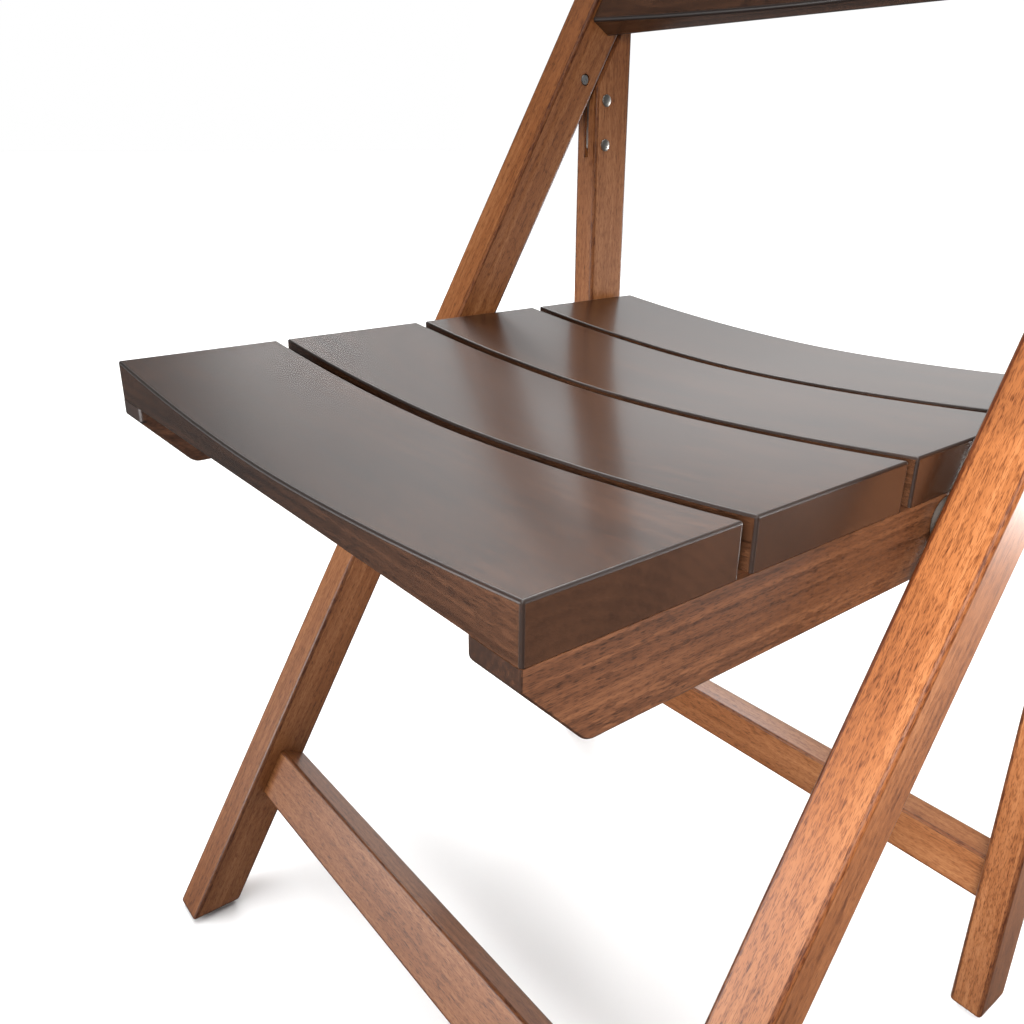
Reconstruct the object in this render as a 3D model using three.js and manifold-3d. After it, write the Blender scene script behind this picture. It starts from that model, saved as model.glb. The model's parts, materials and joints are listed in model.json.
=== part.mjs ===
// A folding wooden chair. Two long rails run from the front feet to the top of the back, and two
// upright rear legs hinge on them. The slatted seat turns on two bolts in the rails, and its
// cleats hook over a steel rod between the rear legs. To fold it, the back of the seat swings up
// between the rails while the rear legs close up behind them.
//
// Millimetres and degrees, +Z up. X runs across the chair, the sitter's left at +X. Y runs from
// front to back. The floor is z = 0. Inside the chair, y is counted from the seat's front edge.

import * as THREE from "three";
import { mergeVertices } from "three/addons/utils/BufferGeometryUtils.js";
import Module from "manifold-3d";

// Overall
const chairHeight = 775;
const seatHeight = 438;
const fitGap = 0.3; // left between pieces that touch
const overshoot = 1; // how far a cut runs past the face it starts from

// Seat slats, with a hollow worked into the top
const slatCount = 4;
const slatLength = 380;
const slatWidth = 100;
const slatThickness = 23;
const slatGap = 7.3;
const dishDepth = 11.5;
const dishPower = 1.8;

// Cleats under the ends of the slats
const cleatThickness = 30;
const cleatHeight = 38.5;
const cleatNoseHeight = 8.7;
const cleatNoseLength = 28.5;
const cleatTipRound = 4; // cut back from the nose's lower corner

// Rails
const railLean = 30.35;
const railWidth = 28;
const railDepth = 32;
const railSideGap = 4.6; // from the cleat to the rail
const railTopRadius = 9;

// Rear legs
const legLean = -0.7;
const legWidth = 22;
const legDepth = 35;
const legLead = 40.5; // from the leg's front face to the seat's back edge, at seat height
const legSideGap = 5.2; // from the cleat to the leg
const legTopLength = 45; // from the hinge pin up to the blunt top of the leg
const mitreGap = 0.4; // from the leg's mitred top to the back of the rail
const foldedGap = 1; // from the rail to the leg when the chair is folded

// Seat pivot
const pivotLead = 176.4; // from the pivot to the seat's back edge
const pivotDrop = 12; // from the underside of the slats
const pivotBoltRadius = 4;
const pivotHeadRadius = 8;
const pivotHeadHeight = 3.5;
const insertRadius = 6;
const insertLength = 16;
const pivotThreadLength = 12;
const spacerRadius = 11;
const spacerThickness = 4;
const runningGap = 0.3; // around a turning bolt, pin or rod

// Hinge of the rear legs
const hingePinRadius = 4;
const hingePinLength = 24;
const hingePinInset = 13; // ahead of the leg's front face
const plateThickness = 4;
const plateEyeRadius = 9;
const plateTailRadius = 8;
const plateTailInset = 10; // from the leg's front face to the rivets
const kerfGap = 0.3; // on each side of the plate
const rivetRadius = 2.5;
const rivetHeadRadius = 4.5;
const rivetHeadHeight = 1.2;
const rivetCrownRadius = 3.6;
const rivetCrownHeight = 0.84;
const upperRivetDrop = 14; // from the hinge pin
const lowerRivetDrop = 46;

// Rod that carries the back of the seat
const seatRodRadius = 5;
const seatRodInset = 16; // from the leg's front face
const seatRodDrop = 50; // from the top of the slats
const seatRodBite = 12; // into each leg
const notchGap = 0.6; // around the rod in the cleat's notch
const notchShare = 0.1; // share of the fold over which the notch follows the rod

// Stretchers and back slats
const frontStretcherDepth = 21;
const frontStretcherHeight = 37;
const frontStretcherTop = 114; // height of its upper back edge
const rearStretcherDepth = 22;
const rearStretcherHeight = 35;
const rearStretcherTop = 121;
const backSlatCount = 2;
const backSlatHeight = 65;
const backSlatGap = 18;
const backSlatThickness = 20;
const backSlatDish = 9;
const backSlatTopMargin = 8; // from the upper slat to the end of the rail
const backSlatSetback = 4; // from the rail's front face
const tenonLength = 12;
const tenonShoulder = 5; // wood left on every side of a tenon

// Small parts
const screwRadius = 2.2;
const screwHeadRadius = 4.2;
const screwHeadHeight = 3;
const screwBite = 13; // into the slat
const counterboreDepth = 12;
const counterboreRadius = 5;
const glideRadius = 9;
const glideHeight = 3;
const glidePegRadius = 3;
const glidePegLength = 9;

// Worked out from the sizes above
const radians = THREE.MathUtils.degToRad;
const outer = slatLength / 2; // outer face of the cleats
const railInner = outer + railSideGap;
const railOuter = railInner + railWidth;
const legInner = outer + legSideGap;
const legOuter = legInner + legWidth;
const slatUnderside = seatHeight - slatThickness;
const cleatUnderside = slatUnderside - cleatHeight;
const slatPitch = slatWidth + slatGap;
const seatDepth = slatCount * slatPitch - slatGap;
const legSetback = seatDepth - legLead;
const pivotSetback = seatDepth - pivotLead;
const footHeight = glideHeight + fitGap;
const seatFold = radians(90 - railLean);
const legFold = radians(railLean - legLean);

// Side view: a Vector2 holds y and z.
const along = (lean) => new THREE.Vector2(Math.sin(lean), Math.cos(lean));
const behind = (lean) => new THREE.Vector2(Math.cos(lean), -Math.sin(lean));
const railUp = along(radians(railLean));
const railBack = behind(radians(railLean));
const legUp = along(radians(legLean));
const legBack = behind(radians(legLean));

// The rail's frame starts at the seat pivot, in the middle of the rail's depth.
const seatPivot = new THREE.Vector2(pivotSetback, slatUnderside - pivotDrop);
const onRail = (back, up) =>
  seatPivot.clone().addScaledVector(railBack, back).addScaledVector(railUp, up);

// The hinge pin is as far from the rail's back face as it has to be for the legs to fold flat.
const hingeBack = railDepth / 2 + foldedGap - hingePinInset;
const legFront = new THREE.Vector2(legSetback, seatHeight);
const hingeUp =
  (legFront.clone().sub(onRail(hingeBack, 0)).dot(legBack) - hingePinInset) / railUp.dot(legBack);
const hinge = onRail(hingeBack, hingeUp);
const onLeg = (back, up) =>
  hinge.clone().addScaledVector(legBack, back).addScaledVector(legUp, up);

// How far up a leaning frame a given height is, at a given distance back.
const railUpAt = (height, back) => (height - onRail(back, 0).y) / railUp.y;
const legUpAt = (height, back) => (height - onLeg(back, 0).y) / legUp.y;

const legFrontFace = hingePinInset;
const legBackFace = hingePinInset + legDepth;
const seatRodBack = legFrontFace + seatRodInset;
const seatRod = onLeg(seatRodBack, legUpAt(seatHeight - seatRodDrop, seatRodBack));
// The highest point of the rail is on the rounded front corner of its upper end.
const railEnd = railTopRadius + railUpAt(chairHeight - railTopRadius, railTopRadius - railDepth / 2);

// Where the rod is as the seat sees it, when the chair is folded by a share from 0 to 1.
const rodSeenFromSeat = (share) =>
  seatRod.clone().rotateAround(hinge, -share * legFold).rotateAround(seatPivot, -share * seatFold);

// Middle of the chair from front to back, so that the part's origin is under its middle.
const frontEdge = onRail(-railDepth / 2, railUpAt(footHeight, -railDepth / 2)).x;
const backEdge = onRail(railDepth / 2 - railTopRadius, railEnd - railTopRadius).x + railTopRadius;
const middle = (frontEdge + backEdge) / 2;

const wasm = await Module();
wasm.setup();

// Solids

function solidOf(geometry) {
  const bare = geometry.clone();
  bare.deleteAttribute("normal");
  bare.deleteAttribute("uv");
  const merged = mergeVertices(bare, 1e-4);
  return new wasm.Manifold(
    new wasm.Mesh({
      numProp: 3,
      vertProperties: merged.attributes.position.array,
      triVerts: new Uint32Array(merged.index.array),
    }),
  );
}

function geometryOf(solid) {
  const mesh = solid.getMesh();
  return new THREE.BufferGeometry()
    .setAttribute("position", new THREE.BufferAttribute(mesh.vertProperties, 3))
    .setIndex(new THREE.BufferAttribute(mesh.triVerts, 1));
}

const cut = (blank, tools) =>
  geometryOf(tools.reduce((rest, tool) => rest.subtract(solidOf(tool)), solidOf(blank)));

const join = (pieces) => geometryOf(pieces.map(solidOf).reduce((a, b) => a.add(b)));

// A block between two corners.
function block(x0, x1, y0, y1, z0, z1) {
  return new THREE.BoxGeometry(x1 - x0, y1 - y0, z1 - z0).translate(
    (x0 + x1) / 2,
    (y0 + y1) / 2,
    (z0 + z1) / 2,
  );
}

// A side view outline in y and z, as thick as the stretch of X it is given.
function sidePiece(outline, x0, x1) {
  const turn = new THREE.Matrix4().makeBasis(
    new THREE.Vector3(0, 1, 0),
    new THREE.Vector3(0, 0, 1),
    new THREE.Vector3(1, 0, 0),
  );
  return new THREE.ExtrudeGeometry(outline, { depth: x1 - x0, bevelEnabled: false, curveSegments: 6 })
    .applyMatrix4(turn)
    .translate(x0, 0, 0);
}

// A round bar along X.
function roundBar(x0, x1, y, z, radius) {
  return new THREE.CylinderGeometry(radius, radius, x1 - x0, 24)
    .rotateZ(Math.PI / 2)
    .translate((x0 + x1) / 2, y, z);
}

// A turned piece along +Z, from [radius, height] pairs that start and end on the axis.
function turned(profile, sides = 16) {
  const points = profile.map(([radius, height]) => new THREE.Vector2(radius, height));
  return new THREE.LatheGeometry(points, sides).rotateX(Math.PI / 2);
}

// Across the board at x, how deep a hollow of a given depth is.
const hollowAt = (x, length, depth) =>
  depth * (1 - Math.abs((2 * x) / length) ** dishPower);

// A board's section: flat below, hollow above.
function dishedSection(length, thickness, depth) {
  const steps = 20;
  const outline = new THREE.Shape();
  outline.moveTo(-length / 2, -thickness);
  outline.lineTo(length / 2, -thickness);
  for (let i = 0; i <= steps; i += 1) {
    const x = length * (0.5 - i / steps);
    outline.lineTo(x, -hollowAt(x, length, depth));
  }
  return outline;
}

// Materials

const finish = (color, roughness, metalness) =>
  new THREE.MeshStandardMaterial({ color, roughness, metalness });
const darkWood = finish(0x4b3025, 0.35, 0);
const cleatWood = finish(0x7c4f36, 0.42, 0);
const frameWood = finish(0xb06c42, 0.4, 0);
const steel = finish(0xb9babb, 0.35, 1);
const plastic = finish(0x1d1b1a, 0.6, 0);
const nylon = finish(0xd9d6cf, 0.5, 0);

// Pieces

// The whole chair is moved so that the part's origin is on the floor under its middle.
const chair = new THREE.Group();
chair.position.y = -middle;

// Frames in which the leaning pieces are drawn upright: y is back and z is up along them.
const leaning = (origin, lean) => {
  const frame = new THREE.Group();
  frame.position.set(0, origin.x, origin.y);
  frame.rotation.x = -radians(lean);
  chair.add(frame);
  return frame;
};
const railFrame = leaning(seatPivot, railLean);
const legFrame = leaning(hinge, legLean);

function put(frame, name, geometry, material, side = 1) {
  const mesh = new THREE.Mesh(geometry, material);
  mesh.name = name;
  mesh.scale.x = side; // the right-hand pieces mirror the left-hand ones
  frame.add(mesh);
  return mesh;
}

// A crosswise member with a tenon at each end. The block is given without its tenons.
function tenoned(halfLength, y0, y1, z0, z1) {
  const tenon = halfLength + tenonLength - fitGap;
  return join([
    block(-halfLength, halfLength, y0, y1, z0, z1),
    block(-tenon, tenon, y0 + tenonShoulder, y1 - tenonShoulder, z0 + tenonShoulder, z1 - tenonShoulder),
  ]);
}

// The pocket in a left-hand rail or leg for such a tenon.
function mortise(face, y0, y1, z0, z1) {
  const shoulder = tenonShoulder - fitGap;
  return block(
    face - overshoot,
    face + tenonLength,
    y0 + shoulder,
    y1 - shoulder,
    z0 + shoulder,
    z1 - shoulder,
  );
}

// Front stretcher and back slats, in the rail's frame
const frontStretcher = {
  back: railDepth / 2,
  top: railUpAt(frontStretcherTop, railDepth / 2),
};
const stretcherBox = [
  frontStretcher.back - frontStretcherDepth,
  frontStretcher.back,
  frontStretcher.top - frontStretcherHeight,
  frontStretcher.top,
];
const backSlats = Array.from({ length: backSlatCount }, (_, i) => {
  const top = railEnd - backSlatTopMargin - i * (backSlatHeight + backSlatGap);
  const front = backSlatSetback - railDepth / 2;
  return [front, front + backSlatThickness, top - backSlatHeight, top];
});

// The slot in the rail in which the hinge plate turns
const kerfHalf = plateThickness / 2 + kerfGap;
const plateMiddle = legInner + legWidth / 2;
const railKerf = block(
  plateMiddle - kerfHalf,
  plateMiddle + kerfHalf,
  hingeBack - plateEyeRadius - overshoot,
  railDepth,
  hingeUp - upperRivetDrop - plateTailRadius,
  hingeUp + plateEyeRadius + 2 * overshoot,
);

function railBlank() {
  const half = railDepth / 2;
  const outline = new THREE.Shape();
  outline.moveTo(-half, railUpAt(footHeight, -half));
  outline.lineTo(half, railUpAt(footHeight, half));
  outline.lineTo(half, railEnd - railTopRadius);
  outline.absarc(half - railTopRadius, railEnd - railTopRadius, railTopRadius, 0, Math.PI / 2);
  outline.absarc(railTopRadius - half, railEnd - railTopRadius, railTopRadius, Math.PI / 2, Math.PI);
  return sidePiece(outline, railInner, railOuter);
}

// A blind bore along X from a left-hand face, with a gap round what it holds and at its end.
const blindBore = (face, depth, y, z, radius) =>
  roundBar(face - overshoot, face + depth + fitGap, y, z, radius + fitGap);

function glideHole(x, y, z) {
  const depth = glidePegLength + fitGap;
  return new THREE.CylinderGeometry(glidePegRadius + fitGap, glidePegRadius + fitGap, 2 * depth, 16)
    .rotateX(Math.PI / 2)
    .translate(x, y, z);
}

const railGlide = onRail(0, railUpAt(footHeight, 0));
const legMiddle = (legFrontFace + legBackFace) / 2;
const legGlide = onLeg(legMiddle, legUpAt(footHeight, legMiddle));
const railMiddle = (railInner + railOuter) / 2;
const legMiddleX = (legInner + legOuter) / 2;

// Turns a geometry that is drawn in the chair into a leaning frame.
const intoFrame = (geometry, origin, lean) =>
  geometry.translate(0, -origin.x, -origin.y).rotateX(radians(lean));

const rail = cut(railBlank(), [
  railKerf,
  blindBore(railInner, hingePinLength, hingeBack, hingeUp, hingePinRadius),
  blindBore(railInner, insertLength + fitGap, 0, 0, insertRadius),
  mortise(railInner, ...stretcherBox),
  ...backSlats.map((box) => mortise(railInner, ...box)),
  intoFrame(glideHole(railMiddle, railGlide.x, railGlide.y), seatPivot, railLean),
]);

put(railFrame, "front_stretcher", tenoned(railInner - fitGap, ...stretcherBox), frameWood);

// A back slat is a dished board that faces forward, with a tenon at each end.
function backSlat(front, back, bottom, top) {
  const half = railInner - fitGap;
  const board = new THREE.ExtrudeGeometry(dishedSection(2 * half, backSlatThickness, backSlatDish), {
    depth: backSlatHeight,
    bevelEnabled: false,
  })
    .rotateZ(Math.PI)
    .translate(0, front, bottom);
  const tenon = half + tenonLength - fitGap;
  const tongue = (x0, x1) =>
    block(x0, x1, front + tenonShoulder, back - tenonShoulder, bottom + tenonShoulder, top - tenonShoulder);
  return join([board, tongue(half - overshoot, tenon), tongue(-tenon, overshoot - half)]);
}
const backSlatNames = ["upper_back_slat", "lower_back_slat"];
backSlats.forEach((box, i) => put(railFrame, backSlatNames[i], backSlat(...box), darkWood));

// Rear legs, in the leg's frame: the hinge pin is its origin.
const mitreBack = railDepth / 2 + mitreGap - hingeBack;
// Distance back from the pin to the mitred face at a given height above the pin
const mitreAt = (up) => (mitreBack + up * Math.sin(legFold)) / Math.cos(legFold);
const mitreFoot = (legFrontFace * Math.cos(legFold) - mitreBack) / Math.sin(legFold);

function legBlank() {
  const outline = new THREE.Shape();
  outline.moveTo(legFrontFace, legUpAt(footHeight, legFrontFace));
  outline.lineTo(legBackFace, legUpAt(footHeight, legBackFace));
  outline.lineTo(legBackFace, legTopLength);
  outline.lineTo(mitreAt(legTopLength), legTopLength);
  outline.lineTo(legFrontFace, mitreFoot);
  return sidePiece(outline, legInner, legOuter);
}

const rivetBack = legFrontFace + plateTailInset;
const legKerf = block(
  plateMiddle - kerfHalf,
  plateMiddle + kerfHalf,
  0,
  rivetBack + plateTailRadius + overshoot,
  -lowerRivetDrop - plateTailRadius - overshoot,
  legTopLength + overshoot,
);
const seatRodUp = legUpAt(seatHeight - seatRodDrop, seatRodBack);
const rearStretcherBox = [
  legBackFace - rearStretcherDepth,
  legBackFace,
  legUpAt(rearStretcherTop, legBackFace) - rearStretcherHeight,
  legUpAt(rearStretcherTop, legBackFace),
];
const rivetDrops = { upper: upperRivetDrop, lower: lowerRivetDrop };

const leg = cut(legBlank(), [
  legKerf,
  ...Object.values(rivetDrops).map((drop) =>
    roundBar(legInner - overshoot, legOuter + overshoot, rivetBack, -drop, rivetRadius + fitGap),
  ),
  blindBore(legInner, seatRodBite - fitGap, seatRodBack, seatRodUp, seatRodRadius),
  mortise(legInner, ...rearStretcherBox),
  intoFrame(glideHole(legMiddleX, legGlide.x, legGlide.y), hinge, legLean),
]);

put(legFrame, "rear_stretcher", tenoned(legInner - fitGap, ...rearStretcherBox), frameWood);
const rodHalf = legInner + seatRodBite - fitGap;
put(legFrame, "seat_rod", roundBar(-rodHalf, rodHalf, seatRodBack, seatRodUp, seatRodRadius), steel);

// The hinge plate: an eye round the pin, and a tail let into the leg.
function hingePlate() {
  const strap = (from, to, fromRadius, toRadius) => {
    const outline = new THREE.Shape();
    const heading = to.clone().sub(from).angle();
    const flare = Math.asin((fromRadius - toRadius) / from.distanceTo(to));
    const start = heading + Math.PI / 2 - flare;
    const end = heading - Math.PI / 2 + flare;
    outline.absarc(from.x, from.y, fromRadius, start, end + 2 * Math.PI);
    outline.absarc(to.x, to.y, toRadius, end, start);
    return sidePiece(outline, plateMiddle - plateThickness / 2, plateMiddle + plateThickness / 2);
  };
  const pin = new THREE.Vector2(0, 0);
  const upper = new THREE.Vector2(rivetBack, -upperRivetDrop);
  const lower = new THREE.Vector2(rivetBack, -lowerRivetDrop);
  const hole = (at, radius) => roundBar(legInner, legOuter, at.x, at.y, radius);
  return cut(
    join([
      strap(pin, upper, plateEyeRadius, plateTailRadius),
      strap(upper, lower, plateTailRadius, plateTailRadius),
    ]),
    [
      hole(pin, hingePinRadius + runningGap),
      hole(upper, rivetRadius + fitGap),
      hole(lower, rivetRadius + fitGap),
    ],
  );
}

// A rivet through the leg, with a low domed head on each face
function rivet(drop) {
  const half = legWidth / 2 + fitGap;
  const head = (end) => [
    [rivetHeadRadius, end * half],
    [rivetCrownRadius, end * (half + rivetCrownHeight)],
    [0, end * (half + rivetHeadHeight)],
  ];
  const profile = [
    ...head(-1).reverse(),
    [rivetRadius, -half],
    [rivetRadius, half],
    ...head(1),
  ];
  return turned(profile).rotateY(Math.PI / 2).translate(legMiddleX, rivetBack, -drop);
}

// Seat: cleats

// The notch follows the rod's way out of the cleat as the seat swings up.
const notchRadius = seatRodRadius + notchGap;
const notchWay = rodSeenFromSeat(notchShare).sub(seatRod).normalize();
function notch() {
  const heading = notchWay.angle();
  const mouth = seatRod.clone().addScaledVector(notchWay, cleatHeight);
  const outline = new THREE.Shape();
  outline.absarc(seatRod.x, seatRod.y, notchRadius, heading + Math.PI / 2, heading + 1.5 * Math.PI);
  outline.lineTo(
    mouth.x + notchRadius * Math.cos(heading - Math.PI / 2),
    mouth.y + notchRadius * Math.sin(heading - Math.PI / 2),
  );
  outline.lineTo(
    mouth.x + notchRadius * Math.cos(heading + Math.PI / 2),
    mouth.y + notchRadius * Math.sin(heading + Math.PI / 2),
  );
  return sidePiece(outline, 0, railInner);
}

const cleatMiddle = outer - cleatThickness / 2;
const slatMiddles = Array.from({ length: slatCount }, (_, i) => i * slatPitch + slatWidth / 2);

function screwHole(y) {
  const top = slatUnderside - fitGap;
  const profile = [
    [0, cleatUnderside - overshoot],
    [counterboreRadius, cleatUnderside - overshoot],
    [counterboreRadius, cleatUnderside + counterboreDepth],
    [screwRadius + fitGap, cleatUnderside + counterboreDepth],
    [screwRadius + fitGap, top + overshoot],
    [0, top + overshoot],
  ];
  return turned(profile).translate(cleatMiddle, y, 0);
}

function cleatBlank() {
  const top = slatUnderside - fitGap;
  const outline = new THREE.Shape();
  outline.moveTo(0, top);
  const nose = new THREE.Vector2(0, slatUnderside - cleatNoseHeight);
  const tip = new THREE.Vector2(cleatNoseLength, cleatUnderside);
  const bend = nose.clone().sub(tip).setLength(cleatTipRound).add(tip);
  outline.lineTo(nose.x, nose.y);
  outline.lineTo(bend.x, bend.y);
  outline.quadraticCurveTo(tip.x, tip.y, tip.x + cleatTipRound, tip.y);
  outline.lineTo(seatDepth, cleatUnderside);
  outline.lineTo(seatDepth, top);
  return sidePiece(outline, outer - cleatThickness, outer);
}

const cleat = cut(cleatBlank(), [
  notch(),
  roundBar(0, railInner, seatPivot.x, seatPivot.y, pivotBoltRadius + runningGap),
  ...slatMiddles.map(screwHole),
]);

// Seat: slats
const pilotHole = (x, y) =>
  new THREE.CylinderGeometry(screwRadius + fitGap, screwRadius + fitGap, 2 * (screwBite + fitGap), 16)
    .rotateX(Math.PI / 2)
    .translate(x, y, slatUnderside);

function slat(middleY) {
  const board = new THREE.ExtrudeGeometry(dishedSection(slatLength, slatThickness, dishDepth), {
    depth: slatWidth,
    bevelEnabled: false,
  })
    .rotateX(Math.PI / 2)
    .translate(0, middleY + slatWidth / 2, seatHeight);
  return cut(board, [pilotHole(cleatMiddle, middleY), pilotHole(-cleatMiddle, middleY)]);
}

slatMiddles.forEach((y, i) => put(chair, "seat_slat_" + (i + 1), slat(y), darkWood));

function slatScrew(y) {
  const head = cleatUnderside + counterboreDepth - fitGap;
  const tip = slatUnderside + screwBite;
  const profile = [
    [0, head - screwHeadHeight],
    [screwHeadRadius, head - screwHeadHeight],
    [screwHeadRadius, head],
    [screwRadius, head],
    [screwRadius, tip - 2 * screwRadius],
    [0, tip],
  ];
  return turned(profile).translate(cleatMiddle, y, 0);
}

// Pivot bolt: its head is inside the cleat and its end is in a threaded insert in the rail.
function pivotBolt() {
  const head = outer - cleatThickness - fitGap;
  return join([
    roundBar(head - pivotHeadHeight, head, 0, 0, pivotHeadRadius),
    roundBar(head - overshoot, railInner + pivotThreadLength, 0, 0, pivotBoltRadius),
  ]);
}

function pivotInsert() {
  const start = railInner + fitGap;
  const depth = start + insertLength;
  return cut(roundBar(start, depth, 0, 0, insertRadius), [
    blindBore(start, pivotThreadLength - fitGap, 0, 0, pivotBoltRadius),
  ]);
}

function spacer() {
  const start = outer + (railSideGap - spacerThickness) / 2;
  return cut(roundBar(start, start + spacerThickness, 0, 0, spacerRadius), [
    roundBar(start - overshoot, start + spacerThickness + overshoot, 0, 0, pivotBoltRadius + runningGap),
  ]);
}

// A foot glide: a low disc on the floor with a peg that is driven into the foot
function glide(x, y) {
  const rim = glideHeight / 3;
  const profile = [
    [0, 0],
    [glideRadius - rim, 0],
    [glideRadius, rim],
    [glideRadius, glideHeight],
    [glidePegRadius, glideHeight],
    [glidePegRadius, glideHeight + glidePegLength],
    [0, glideHeight + glidePegLength],
  ];
  return turned(profile).translate(x, y, 0);
}

for (const [side, sign] of Object.entries({ left: 1, right: -1 })) {
  put(railFrame, side + "_rail", rail, frameWood, sign);
  put(
    railFrame,
    side + "_hinge_pin",
    roundBar(railInner + fitGap, railInner + hingePinLength, hingeBack, hingeUp, hingePinRadius),
    steel,
    sign,
  );
  put(railFrame, side + "_pivot_bolt", pivotBolt(), steel, sign);
  put(railFrame, side + "_pivot_insert", pivotInsert(), steel, sign);
  put(railFrame, side + "_pivot_spacer", spacer(), nylon, sign);
  put(chair, side + "_front_glide", glide(railMiddle, railGlide.x), plastic, sign);

  put(legFrame, side + "_rear_leg", leg, frameWood, sign);
  put(legFrame, side + "_hinge_plate", hingePlate(), steel, sign);
  for (const [place, drop] of Object.entries(rivetDrops))
    put(legFrame, side + "_" + place + "_rivet", rivet(drop), steel, sign);
  put(chair, side + "_rear_glide", glide(legMiddleX, legGlide.x), plastic, sign);

  put(chair, side + "_cleat", cleat, cleatWood, sign);
  slatMiddles.forEach((y, i) =>
    put(chair, side + "_slat_screw_" + (i + 1), slatScrew(y), steel, sign),
  );
}

export default chair;
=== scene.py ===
import bpy
import bmesh
import json
import math
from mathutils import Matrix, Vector

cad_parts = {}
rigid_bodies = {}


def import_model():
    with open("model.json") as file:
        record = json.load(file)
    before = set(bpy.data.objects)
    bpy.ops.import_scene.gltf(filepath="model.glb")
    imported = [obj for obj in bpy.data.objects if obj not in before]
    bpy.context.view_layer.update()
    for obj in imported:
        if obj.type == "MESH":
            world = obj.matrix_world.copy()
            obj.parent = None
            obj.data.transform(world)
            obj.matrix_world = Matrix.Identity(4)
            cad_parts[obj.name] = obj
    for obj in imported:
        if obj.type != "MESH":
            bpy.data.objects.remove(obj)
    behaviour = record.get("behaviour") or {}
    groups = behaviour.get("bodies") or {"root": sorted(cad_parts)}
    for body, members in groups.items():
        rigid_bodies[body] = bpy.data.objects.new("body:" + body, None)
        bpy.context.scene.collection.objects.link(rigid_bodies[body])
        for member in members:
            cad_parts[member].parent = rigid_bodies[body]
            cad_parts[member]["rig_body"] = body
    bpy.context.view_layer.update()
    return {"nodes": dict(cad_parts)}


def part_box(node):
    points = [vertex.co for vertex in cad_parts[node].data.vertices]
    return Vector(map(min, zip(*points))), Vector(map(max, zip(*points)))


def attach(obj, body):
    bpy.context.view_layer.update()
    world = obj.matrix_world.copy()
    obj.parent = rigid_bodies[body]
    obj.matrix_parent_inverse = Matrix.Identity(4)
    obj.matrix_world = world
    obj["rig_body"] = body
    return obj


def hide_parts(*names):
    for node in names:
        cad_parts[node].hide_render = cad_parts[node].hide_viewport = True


# A folding wooden chair with a hollowed, slatted seat.
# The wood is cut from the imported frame, its edges are eased, and each board gets its own grain.
# The turned metal and plastic parts are spun anew to the sizes of the frame.
# Metres. X runs across the chair, Y from front to back, and Z is up.

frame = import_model()
scene = bpy.context.scene


def bodyOf(node):
    return frame["nodes"][node]["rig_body"]


def sided(name):
    return ["left_" + name, "right_" + name]


def newMaterial(name):
    material = bpy.data.materials.new(name)
    material.use_nodes = True
    tree = material.node_tree
    return material, tree, tree.nodes["Principled BSDF"]


def placed(tree, source, turn=(0, 0, 0), move=(0, 0, 0), scale=(1, 1, 1)):
    mapping = tree.nodes.new("ShaderNodeMapping")
    mapping.inputs["Rotation"].default_value = [math.radians(a) for a in turn]
    mapping.inputs["Location"].default_value = move
    mapping.inputs["Scale"].default_value = scale
    tree.links.new(source, mapping.inputs["Vector"])
    return mapping.outputs["Vector"]


def noise(tree, source, scale, detail, roughness=0.55):
    node = tree.nodes.new("ShaderNodeTexNoise")
    node.inputs["Scale"].default_value = scale
    node.inputs["Detail"].default_value = detail
    node.inputs["Roughness"].default_value = roughness
    tree.links.new(source, node.inputs["Vector"])
    return node.outputs["Fac"]


def spread(tree, value, low, high, to=(0.0, 1.0)):
    node = tree.nodes.new("ShaderNodeMapRange")
    node.interpolation_type = "SMOOTHSTEP"
    node.inputs["From Min"].default_value = low
    node.inputs["From Max"].default_value = high
    node.inputs["To Min"].default_value = to[0]
    node.inputs["To Max"].default_value = to[1]
    tree.links.new(value, node.inputs["Value"])
    return node.outputs["Result"]


def maths(tree, operation, a, b):
    node = tree.nodes.new("ShaderNodeMath")
    node.operation = operation
    for socket, value in zip(node.inputs, (a, b)):
        if isinstance(value, (int, float)):
            socket.default_value = value
        else:
            tree.links.new(value, socket)
    return node.outputs[0]


def ramp(tree, value, stops):
    node = tree.nodes.new("ShaderNodeValToRGB")
    points = node.color_ramp.elements
    while len(points) < len(stops):
        points.new(0.5)
    for point, (place, color) in zip(points, stops):
        point.position = place
        point.color = (*color, 1)
    tree.links.new(value, node.inputs["Fac"])
    return node.outputs["Color"]


def bumped(tree, shader, height, distance, strength):
    node = tree.nodes.new("ShaderNodeBump")
    node.inputs["Strength"].default_value = strength
    node.inputs["Distance"].default_value = distance
    tree.links.new(height, node.inputs["Height"])
    tree.links.new(node.outputs["Normal"], shader.inputs["Normal"])


# Stain and lacquer. Colours run from the darkest grain lines to the lightest wood.
slatWood = {
    "colors": [(0.007, 0.0028, 0.0014), (0.029, 0.0118, 0.0056), (0.062, 0.026, 0.0125)],
    "broad": 0.60, "streaks": 0.45, "rings": 0.50, "pores": 0.28, "mottle": 0.10,
    "ringPitch": 0.0052, "roughness": 0.24, "easedRoughness": 0.50, "specular": 0.5,
    "coat": 0.15, "coatRoughness": 0.14, "easedShade": 0.55, "endShade": 0.20, "endCalm": 0.6,
}
cleatWood = {
    "colors": [(0.012, 0.0045, 0.0020), (0.056, 0.020, 0.0080), (0.115, 0.046, 0.019)],
    "broad": 0.40, "streaks": 0.60, "rings": 0.55, "pores": 0.38, "mottle": 0.12,
    "ringPitch": 0.0036, "roughness": 0.38, "easedRoughness": 0.45, "specular": 0.4,
    "coat": 0.1, "coatRoughness": 0.2, "easedShade": 0.45, "endShade": 0.42, "endCalm": 0.3,
}
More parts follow.
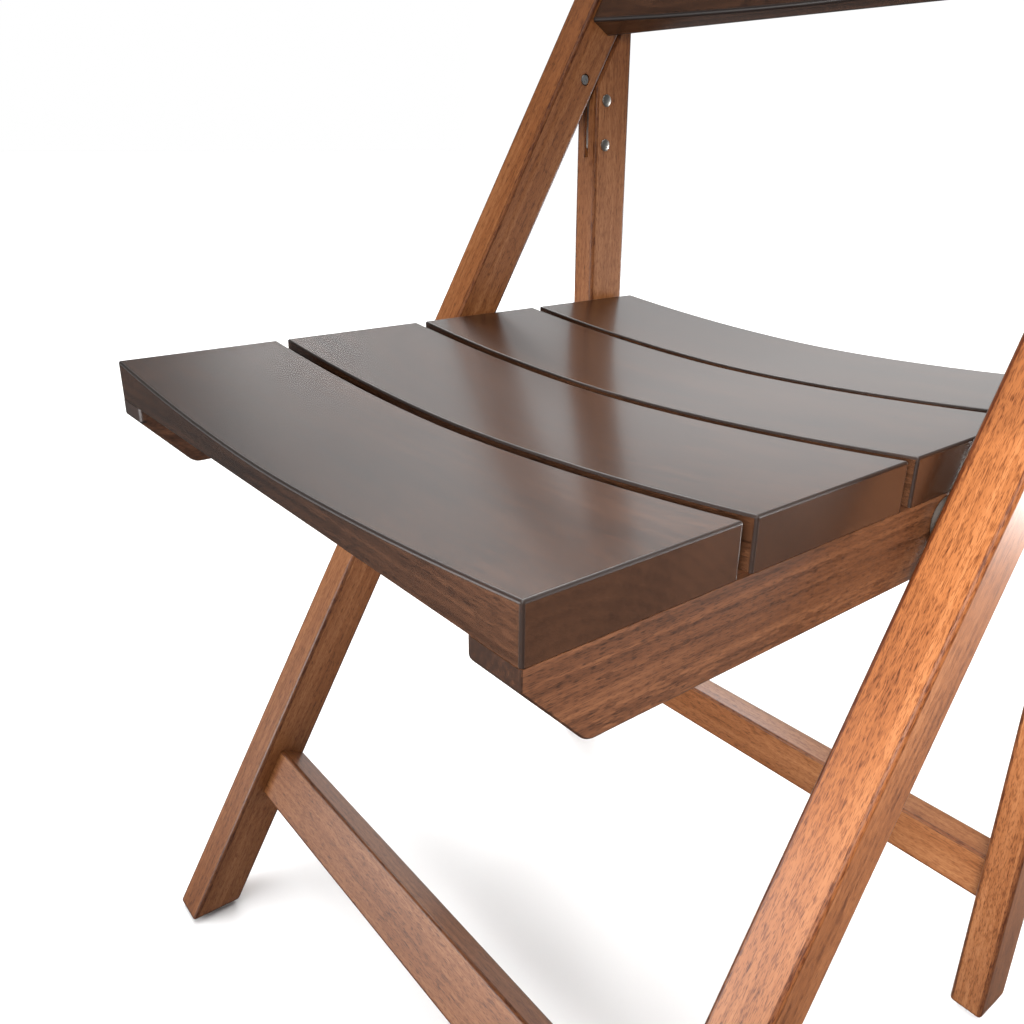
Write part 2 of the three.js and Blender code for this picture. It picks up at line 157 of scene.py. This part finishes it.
frameWood = {
    "colors": [(0.036, 0.008, 0.002), (0.160, 0.055, 0.017), (0.300, 0.135, 0.056)],
    "broad": 0.50, "streaks": 0.40, "rings": 0.20, "pores": 0.28, "mottle": 0.20,
    "ringPitch": 0.0046, "roughness": 0.34, "easedRoughness": 0.36, "specular": 0.35,
    "coat": 0.1, "coatRoughness": 0.2, "easedShade": 0.30, "endShade": 0.25, "endCalm": 0.3,
}


# How each layer of the grain is stretched, along the board first, and where its marks begin and end.
grainPattern = {
    "plain": 0.58,
    "slowScale": (0.12, 1, 1), "slowTurn": (0, 1.2, 0.8),
    "ringWander": 3.5, "ringWanderDetail": 1.0, "ringWanderScale": 9.0,
    "broadScale": (2.6, 19, 19), "broadDetail": 3.0,
    "streakScale": (9, 330, 330), "streakDetail": 4.0, "streakRoughness": 0.6,
    "mottleScale": (120, 620, 620), "mottleDetail": 2.0, "mottleMarks": (0.52, 0.68),
    "poreScale": (270, 2600, 2600), "poreDetail": 1.5, "poreMarks": (0.50, 0.66),
    "fineRoughness": 0.5, "fibreDepth": 0.00003, "fibreStrength": 0.15,
}


# The grain runs along the board's own length: "turn" brings that length onto the pattern's X.
# "pith" says where the middle of the tree was, so the rings arch across the board's end.
def woodMaterial(name, wood, turn, pith, seed):
    material, tree, shader = newMaterial(name)
    coords = tree.nodes.new("ShaderNodeTexCoord").outputs["Object"]
    grain = placed(tree, coords, turn=turn, move=(seed, pith[0], pith[1]))
    look = grainPattern
    slow = placed(tree, grain, scale=look["slowScale"], turn=look["slowTurn"])

    rings = tree.nodes.new("ShaderNodeTexWave")
    rings.wave_type = "RINGS"
    rings.rings_direction = "X"
    rings.wave_profile = "SAW"
    rings.inputs["Scale"].default_value = 0.1 * math.pi / wood["ringPitch"]
    rings.inputs["Distortion"].default_value = look["ringWander"]
    rings.inputs["Detail"].default_value = look["ringWanderDetail"]
    rings.inputs["Detail Scale"].default_value = look["ringWanderScale"]
    tree.links.new(slow, rings.inputs["Vector"])

    def layer(name, roughness):
        stretched = placed(tree, grain, scale=look[name + "Scale"])
        return noise(tree, stretched, 1.0, look[name + "Detail"], roughness)

    broad = layer("broad", 0.55)
    streaks = layer("streak", look["streakRoughness"])
    mottle = layer("mottle", look["fineRoughness"])
    pores = spread(tree, layer("pore", look["fineRoughness"]), *look["poreMarks"])
    flecks = spread(tree, mottle, *look["mottleMarks"])

    tone = maths(tree, "MULTIPLY", maths(tree, "SUBTRACT", broad, 0.5), 2 * wood["broad"])
    tone = maths(tree, "ADD", tone, look["plain"])
    parts = [
        (maths(tree, "SUBTRACT", streaks, 0.5), 1.6 * wood["streaks"]),
        (maths(tree, "SUBTRACT", rings.outputs["Fac"], 0.5), -0.5 * wood["rings"]),
        (flecks, -wood["mottle"]),
        (pores, -wood["pores"]),
    ]
    for value, amount in parts:
        tone = maths(tree, "ADD", tone, maths(tree, "MULTIPLY", value, amount))
    endGrain = tree.nodes.new("ShaderNodeAttribute")
    endGrain.attribute_name = "end"
    calm = maths(tree, "SUBTRACT", 1.0, maths(tree, "MULTIPLY", endGrain.outputs["Fac"], wood["endCalm"]))
    contrast = maths(tree, "MULTIPLY", maths(tree, "SUBTRACT", tone, look["plain"]), calm)
    tone = maths(tree, "ADD", contrast, look["plain"])  # the pattern is fainter across the ends
    for mark in ("eased", "end"):  # rounded edges and end grain take more stain
        attribute = tree.nodes.new("ShaderNodeAttribute")
        attribute.attribute_name = mark
        darker = maths(tree, "MULTIPLY", attribute.outputs["Fac"], wood[mark + "Shade"])
        tone = maths(tree, "SUBTRACT", tone, darker)
        if mark == "eased":
            dulled = (wood["roughness"], wood["easedRoughness"])
            dull = spread(tree, attribute.outputs["Fac"], 0, 1, dulled)
            tree.links.new(dull, shader.inputs["Roughness"])

    dark, middle, light = wood["colors"]
    color = ramp(tree, tone, [(0.0, dark), (0.5, middle), (1.0, light)])
    tree.links.new(color, shader.inputs["Base Color"])
    shader.inputs["Specular IOR Level"].default_value = wood["specular"]
    shader.inputs["Coat Weight"].default_value = wood["coat"]
    shader.inputs["Coat Roughness"].default_value = wood["coatRoughness"]
    fibre = maths(tree, "SUBTRACT", maths(tree, "MULTIPLY", streaks, 0.5), pores)
    bumped(tree, shader, fibre, look["fibreDepth"], look["fibreStrength"])
    return material


def metalMaterial(name, color, roughness, grainScale):
    material, tree, shader = newMaterial(name)
    coords = tree.nodes.new("ShaderNodeTexCoord").outputs["Object"]
    wear = noise(tree, placed(tree, coords, scale=grainScale), 1.0, 4.0)
    shade = [tuple(c * k for c in color) for k in (0.82, 1.0)]
    tree.links.new(ramp(tree, wear, [(0.3, shade[0]), (0.7, shade[1])]), shader.inputs["Base Color"])
    rubbed = spread(tree, wear, 0.3, 0.7, (roughness + 0.08, roughness - 0.05))
    tree.links.new(rubbed, shader.inputs["Roughness"])
    shader.inputs["Metallic"].default_value = 1.0
    bumped(tree, shader, wear, 0.00003, 0.4)
    return material


def plasticMaterial(name, color, roughness):
    material, tree, shader = newMaterial(name)
    coords = tree.nodes.new("ShaderNodeTexCoord").outputs["Object"]
    grain = noise(tree, placed(tree, coords, scale=(1400, 1400, 1400)), 1.0, 2.0)
    shade = [tuple(c * k for c in color) for k in (0.88, 1.0)]
    tree.links.new(ramp(tree, grain, [(0.3, shade[0]), (0.7, shade[1])]), shader.inputs["Base Color"])
    shader.inputs["Roughness"].default_value = roughness
    bumped(tree, shader, grain, 0.00004, 0.5)
    return material


rodSteel = metalMaterial("rodSteel", (0.60, 0.59, 0.58), 0.30, (60, 900, 900))
plateSteel = metalMaterial("plateSteel", (0.52, 0.50, 0.48), 0.36, (700, 700, 120))
screwSteel = metalMaterial("screwSteel", (0.56, 0.54, 0.50), 0.32, (800, 800, 800))
# The pivot spacers are black nylon. Their near-black colour is partly painted shade for the dark gap
# between the cleat and the rail.
spacerNylonPaintedShade = plasticMaterial("spacerNylonPaintedShade", (0.030, 0.024, 0.020), 0.5)
glidePlastic = plasticMaterial("glidePlastic", (0.020, 0.018, 0.017), 0.52)
print("materials ready")


def finished(bm, name, node, material, sharpAngle=35.0):
    mesh = bpy.data.meshes.new(name)
    bm.to_mesh(mesh)
    bm.free()
    mesh.materials.clear()
    mesh.materials.append(material)
    for face in mesh.polygons:
        face.use_smooth = True
        face.material_index = 0
    mesh.set_sharp_from_angle(angle=math.radians(sharpAngle))
    piece = bpy.data.objects.new(name, mesh)
    scene.collection.objects.link(piece)
    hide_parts(node)
    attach(piece, bodyOf(node))
    return piece


def mergedCopy(node, gap=1e-6):
    bm = bmesh.new()
    bm.from_mesh(frame["nodes"][node].data)
    bmesh.ops.remove_doubles(bm, verts=bm.verts, dist=gap)
    return bm


# A wall of a bore, kerf or notch turns inwards where it meets the next wall.
def isBoreWall(face, turnIn=math.radians(10)):
    return any(len(e.link_faces) == 2 and e.calc_face_angle_signed(0) < -turnIn for e in face.edges)


def edgesToEase(bm, keepSharp, least=math.radians(25)):
    walls = {face for face in bm.faces if isBoreWall(face)}
    return [
        e for e in bm.edges
        if len(e.link_faces) == 2
        and e.calc_face_angle_signed(0) > least
        and not walls.intersection(e.link_faces)
        and not keepSharp(e)
    ]


# The edges of a level face at a given height, where two boards are screwed together.
def edgesAt(height, near=1e-5):
    return lambda edge: all(abs(v.co.z - height) < near for v in edge.verts)


# The edges of the upright face that stands at a given distance from the chair's middle.
def edgesOut(distance, near=1e-5):
    return lambda edge: all(abs(abs(v.co.x) - distance) < near for v in edge.verts)


# A board cut from the frame's own solid, with its outside edges rounded over.
def easedBoard(node, ease, material, grain, keepSharp=lambda edge: False, soft=None):
    bm = mergedCopy(node)
    bmesh.ops.dissolve_limit(bm, angle_limit=math.radians(0.2), verts=bm.verts, edges=bm.edges)
    if soft:  # these edges are rounded more than the rest
        softEase, isSoft = soft
        bmesh.ops.bevel(
            bm, geom=[e for e in edgesToEase(bm, keepSharp) if isSoft(e)], offset=softEase,
            offset_type="OFFSET", affect="EDGES", segments=6, profile=0.5, material=-1,
            clamp_overlap=False,
        )
    rounded = bmesh.ops.bevel(
        bm, geom=edgesToEase(bm, keepSharp), offset=ease, offset_type="OFFSET", affect="EDGES",
        segments=4, profile=0.5, material=-1, clamp_overlap=False,
    )
    eased, end = [bm.loops.layers.float.new(mark) for mark in ("eased", "end")]
    for face in rounded["faces"]:
        for corner in face.loops:
            corner[eased] = 1.0
    bm.normal_update()
    for face in bm.faces:
        for corner in face.loops:
            corner[end] = min(1.0, max(0.0, 3.0 * abs(face.normal.dot(grain)) - 1.6))
    piece = finished(bm, node + ".board", node, material)
    weighted = piece.modifiers.new("flatFaces", "WEIGHTED_NORMAL")
    weighted.keep_sharp = True
    weighted.weight = 90


# A turned part: its outline is given as pairs of distance from the axis and place along it.
def turnedPart(node, outline, middle, axis, material, steps=48):
    bm = bmesh.new()
    across = Vector((0, 0, 1)) if axis == "X" else Vector((1, 0, 0))
    along = Vector((1, 0, 0)) if axis == "X" else Vector((0, 0, 1))
    corners = [bm.verts.new(middle + across * r + along * t) for r, t in outline]
    sides = [bm.edges.new(pair) for pair in zip(corners, corners[1:])]
    bmesh.ops.spin(
        bm, geom=corners + sides, cent=middle, axis=along, dvec=(0, 0, 0),
        angle=2 * math.pi, steps=steps, use_merge=True,
    )
    bmesh.ops.remove_doubles(bm, verts=bm.verts, dist=1e-6)
    bmesh.ops.recalc_face_normals(bm, faces=bm.faces)
    finished(bm, node + ".turned", node, material, 30.0)


def middleAndHalf(node):
    low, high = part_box(node)
    return (low + high) / 2, (high - low) / 2


acrossChair = Vector((1, 0, 0))


def leaning(degrees):
    return Vector((0, math.sin(math.radians(degrees)), math.cos(math.radians(degrees))))


seatBoards = {
    "slatEase": 0.0013,
    "cleatEase": 0.0008,
    "cleatInsideEase": 0.0045,
    "slatPiths": [(0.034, 0.075), (-0.021, 0.090), (0.012, 0.068), (-0.040, 0.082)],
    "cleatPiths": [(0.055, 0.020), (-0.060, 0.030)],
}
for i, pith in enumerate(seatBoards["slatPiths"]):
    node = "seat_slat_" + str(i + 1)
    middle, _ = middleAndHalf(node)
    move = (pith[0] - middle.y, pith[1] - middle.z)
    material = woodMaterial("slatWood." + str(i + 1), slatWood, (0, 0, 0), move, 0.37 * i)
    underside = edgesAt(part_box(node)[0].z)
    easedBoard(node, seatBoards["slatEase"], material, acrossChair, underside)

for i, node in enumerate(sided("cleat")):
    middle, _ = middleAndHalf(node)
    pith = seatBoards["cleatPiths"][i]
    move = (middle.x + pith[0], pith[1] - middle.z)
    material = woodMaterial("cleatWood." + str(i + 1), cleatWood, (0, 0, -90), move, 1.9 + 0.7 * i)
    top = edgesAt(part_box(node)[1].z)
    inside = min(abs(corner.x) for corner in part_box(node))
    soft = (seatBoards["cleatInsideEase"], edgesOut(inside))
    easedBoard(node, seatBoards["cleatEase"], material, Vector((0, 1, 0)), top, soft)
print("seat boards cut and eased")


frameBoards = {
    "railEase": 0.0026,
    "legEase": 0.0026,
    "stretcherEase": 0.0022,
    "backSlatEase": 0.0022,
    "railLean": 30.35,
    "legLean": -0.7,
    "railPiths": [(0.05, 0.28), (0.03, 0.28)],
    "legPiths": [(-0.14, 0.27), (-0.14, 0.30)],
    "stretcherPiths": [(0.0, 0.02), (0.05, 0.02)],
    "backSlatPith": (-0.35, -0.52),
}
for i, node in enumerate(sided("rail")):
    turn = (frameBoards["railLean"], 90, 0)
    pith, seed = frameBoards["railPiths"][i], 3.1 + 1.3 * i
    material = woodMaterial("railWood." + str(i + 1), frameWood, turn, pith, seed)
    along = leaning(frameBoards["railLean"])
    easedBoard(node, frameBoards["railEase"], material, along)
for i, node in enumerate(sided("rear_leg")):
    turn = (frameBoards["legLean"], 90, 0)
    pith, seed = frameBoards["legPiths"][i], 5.3 + 1.1 * i
    material = woodMaterial("legWood." + str(i + 1), frameWood, turn, pith, seed)
    along = leaning(frameBoards["legLean"])
    easedBoard(node, frameBoards["legEase"], material, along)
for i, node in enumerate(["front_stretcher", "rear_stretcher"]):
    pith, seed = frameBoards["stretcherPiths"][i], 7.7 + i
    material = woodMaterial("stretcherWood." + str(i + 1), frameWood, (0, 0, 0), pith, seed)
    easedBoard(node, frameBoards["stretcherEase"], material, acrossChair)
for i, node in enumerate(["upper_back_slat", "lower_back_slat"]):
    turn = (frameBoards["railLean"], 0, 0)
    pith, seed = frameBoards["backSlatPith"], 9.1 + i
    material = woodMaterial("backSlatWood." + str(i + 1), slatWood, turn, pith, seed)
    easedBoard(node, frameBoards["backSlatEase"], material, acrossChair)
print("frame boards cut and eased")


turnedParts = {
    "rodChamfer": 0.0008,
    "boltHeadCrown": 0.0007,
    "boltHeadRadius": 0.008,
    "boltHeadHeight": 0.0035,
    "boltSocketRadius": 0.0029,
    "boltSocketDepth": 0.0022,
    "spacerEase": 0.0006,
    "spacerBore": 0.0043,
    "rivetHeadHeight": 0.0012,
    "rivetHeadRadius": 0.0045,
    "rivetRadius": 0.0025,
}


# A plain round bar along X, with its ends chamfered.
def roundBar(node, material, chamfer):
    middle, half = middleAndHalf(node)
    radius = half.z
    outline = [
        (0, -half.x), (radius - chamfer, -half.x), (radius, chamfer - half.x),
        (radius, half.x - chamfer), (radius - chamfer, half.x), (0, half.x),
    ]
    turnedPart(node, outline, middle, "X", material)


roundBar("seat_rod", rodSteel, turnedParts["rodChamfer"])
for node in sided("hinge_pin"):
    roundBar(node, rodSteel, turnedParts["rodChamfer"])

# Pivot bolts have a low crowned head with a round socket, seen from inside the chair.
for side, node in zip((1, -1), sided("pivot_bolt")):
    middle, half = middleAndHalf(node)
    headRadius, headHeight = turnedParts["boltHeadRadius"], turnedParts["boltHeadHeight"]
    crown, socket = turnedParts["boltHeadCrown"], turnedParts["boltSocketRadius"]
    socketDepth, shank = turnedParts["boltSocketDepth"], headRadius / 2
    inner, outer = -half.x, half.x
    outline = [
        (0, inner + socketDepth), (socket, inner + socketDepth),
        (socket, inner), (headRadius - 2 * crown, inner), (headRadius - crown / 2, inner + crown / 2),
        (headRadius, inner + 2 * crown), (headRadius, inner + headHeight), (shank, inner + headHeight),
        (shank, outer - crown), (shank - crown, outer), (0, outer),
    ]
    turnedPart(node, [(r, side * t) for r, t in outline], middle, "X", screwSteel)

for node in sided("pivot_spacer"):
    middle, half = middleAndHalf(node)
    ease, radius, bore = turnedParts["spacerEase"], half.z, turnedParts["spacerBore"]
    outline = [
        (bore, -half.x), (radius - ease, -half.x), (radius, ease - half.x),
        (radius, half.x - ease), (radius - ease, half.x), (bore, half.x), (bore, -half.x),
    ]
    turnedPart(node, outline, middle, "X", spacerNylonPaintedShade)

for node in sided("upper_rivet") + sided("lower_rivet"):
    middle, half = middleAndHalf(node)
    head, headRadius = turnedParts["rivetHeadHeight"], turnedParts["rivetHeadRadius"]
    shank = turnedParts["rivetRadius"]
    quarter = [k * math.pi / 16 for k in range(9)]
    dome = [(headRadius * math.sin(a), half.x - head * (1 - math.cos(a))) for a in quarter]
    otherDome = [(r, -t) for r, t in reversed(dome)]
    outline = dome + [(shank, half.x - head), (shank, head - half.x)] + otherDome
    turnedPart(node, outline, middle, "X", screwSteel)
print("turned metal parts made")


glides = {"rim": 0.0010, "height": 0.0030, "pegRadius": 0.0030}
for node in sided("front_glide") + sided("rear_glide"):
    middle, half = middleAndHalf(node)
    rim, height, peg, radius = glides["rim"], glides["height"], glides["pegRadius"], half.y
    bottom = -half.z
    outline = [
        (0, bottom), (radius - rim, bottom), (radius - 0.3 * rim, bottom + 0.3 * rim),
        (radius, bottom + rim),
        (radius, bottom + height - 0.2 * rim), (radius - 0.2 * rim, bottom + height),
        (peg, bottom + height), (peg, half.z), (0, half.z),
    ]
    turnedPart(node, outline, middle, "Z", glidePlastic)

screws = {
    "headHeight": 0.0030,
    "headChamfer": (0.0005, 0.0006),
    "shank": 0.0022,
    "recess": 0.0012,
    "recessDepth": 0.0014,
}
screwNodes = [side + "_slat_screw_" + str(n + 1) for side in ("left", "right") for n in range(4)]
for node in screwNodes:
    middle, half = middleAndHalf(node)
    shank, head = screws["shank"], screws["headHeight"]
    bottom = -half.z
    chamferIn, chamferUp = screws["headChamfer"]
    outline = [
        (0, bottom + screws["recessDepth"]), (screws["recess"], bottom), (half.y - chamferIn, bottom),
        (half.y, bottom + chamferUp), (half.y, bottom + head), (shank, bottom + head),
        (shank, half.z - 2 * shank), (0, half.z),
    ]
    turnedPart(node, outline, middle, "Z", screwSteel, 24)

for node in sided("hinge_plate"):
    finished(mergedCopy(node), node + ".plate", node, plateSteel)
for node in sided("pivot_insert"):
    finished(mergedCopy(node), node + ".insert", node, screwSteel)
print("glides, screws, plates and inserts made")


studio = {
    "floorSize": 60.0,
    "floorColor": (0.96, 0.96, 0.96),
    "surroundLevel": 0.10,
    "backdropLevel": 0.95,
    "backdropFacing": (-0.45, 0.89, 0.0),
    "backdropWidth": (0.45, 0.95),
    "backdropHeight": (0.20, 0.46),
    "sun": 3.3,
    "sunSoftness": 60.0,
}
floorMesh = bpy.data.meshes.new("floor")
bm = bmesh.new()
bmesh.ops.create_grid(bm, x_segments=1, y_segments=1, size=studio["floorSize"] / 2)
bm.to_mesh(floorMesh)
bm.free()
floor = bpy.data.objects.new("floor", floorMesh)
scene.collection.objects.link(floor)
floorMaterial, floorTree, floorShader = newMaterial("floorPaint")
floorShader.inputs["Base Color"].default_value = (*studio["floorColor"], 1)
floorShader.inputs["Roughness"].default_value = 0.9
floorShader.inputs["Specular IOR Level"].default_value = 0.1
floor.data.materials.append(floorMaterial)
floor.visible_glossy = False  # the lacquer mirrors the dim surround and not the floor

# The surround is dim, with a bright backdrop low down behind the chair. The camera sees it white.
world = bpy.data.worlds.new("surround")
scene.world = world
world.use_nodes = True
worldTree = world.node_tree
background = worldTree.nodes["Background"]
direction = worldTree.nodes.new("ShaderNodeTexCoord").outputs["Generated"]
facing = worldTree.nodes.new("ShaderNodeVectorMath")
facing.operation = "DOT_PRODUCT"
facing.inputs[1].default_value = studio["backdropFacing"]
worldTree.links.new(direction, facing.inputs[0])
height = worldTree.nodes.new("ShaderNodeSeparateXYZ")
worldTree.links.new(direction, height.inputs["Vector"])
sideways = spread(worldTree, facing.outputs["Value"], *studio["backdropWidth"])
upwards = spread(worldTree, height.outputs["Z"], *studio["backdropHeight"], (1.0, 0.0))
patch = maths(worldTree, "MULTIPLY", sideways, upwards)
glow = maths(worldTree, "MULTIPLY", patch, studio["backdropLevel"])
seen = worldTree.nodes.new("ShaderNodeLightPath").outputs["Is Camera Ray"]
level = maths(worldTree, "MAXIMUM", maths(worldTree, "ADD", glow, studio["surroundLevel"]), seen)
worldTree.links.new(level, background.inputs["Strength"])
background.inputs["Color"].default_value = (1, 1, 1, 1)


def softbox(name, place, target, width, height, power, spread=180, mirrored=True):
    lamp = bpy.data.lights.new(name, "AREA")
    lamp.shape = "RECTANGLE"
    lamp.size, lamp.size_y, lamp.energy = width, height, power
    lamp.spread = math.radians(spread)
    box = bpy.data.objects.new(name, lamp)
    box.location = place
    box.rotation_euler = (Vector(target) - Vector(place)).to_track_quat("-Z", "Y").to_euler()
    box.visible_camera = False
    box.visible_glossy = mirrored
    scene.collection.objects.link(box)


# The key is split in two at one place, so that only a share of it is mirrored in the lacquer.
keyBox = {
    "place": (0.50, -0.54, 0.62), "target": (0.24, -0.03, 0.42), "width": 0.35, "height": 0.4,
    "spread": 62,
}
softboxes = {
    "key": {**keyBox, "power": 2.7, "mirrored": False},
    "keyShine": {**keyBox, "power": 1.4},
    "low": {
        "place": (-0.55, -1.1, 0.35), "target": (-0.15, -0.1, 0.05), "width": 0.8, "height": 0.5,
        "power": 11,
    },
    "rim": {
        "place": (0.72, 1.45, 0.14), "target": (0.36, -0.14, 0.28), "width": 0.9, "height": 0.5,
        "power": 5, "spread": 30,
    },
    "backTop": {
        "place": (-2.4, 1.9, 2.8), "target": (0.0, 0.0, 0.1), "width": 2.4, "height": 1.0,
        "power": 95,
    },
}
for name, box in softboxes.items():
    softbox(name, **box)

sky = bpy.data.lights.new("sky", "SUN")
sky.energy = studio["sun"]
sky.angle = math.radians(studio["sunSoftness"])
skyLight = bpy.data.objects.new("sky", sky)
scene.collection.objects.link(skyLight)

cameraView = {
    "place": (0.3738, -0.3810, 0.5624),
    "lens": 32.44,
    "tilt": 67.80,
    "roll": -0.47,
    "pan": 51.90,
}
camera = bpy.data.objects.new("camera", bpy.data.cameras.new("camera"))
camera.data.lens = cameraView["lens"]
camera.data.sensor_width = 36.0
camera.data.clip_start = 0.01
camera.location = cameraView["place"]
camera.rotation_euler = [math.radians(cameraView[k]) for k in ("tilt", "roll", "pan")]
scene.collection.objects.link(camera)
scene.camera = camera
scene.view_settings.view_transform = "Standard"
print("studio set")
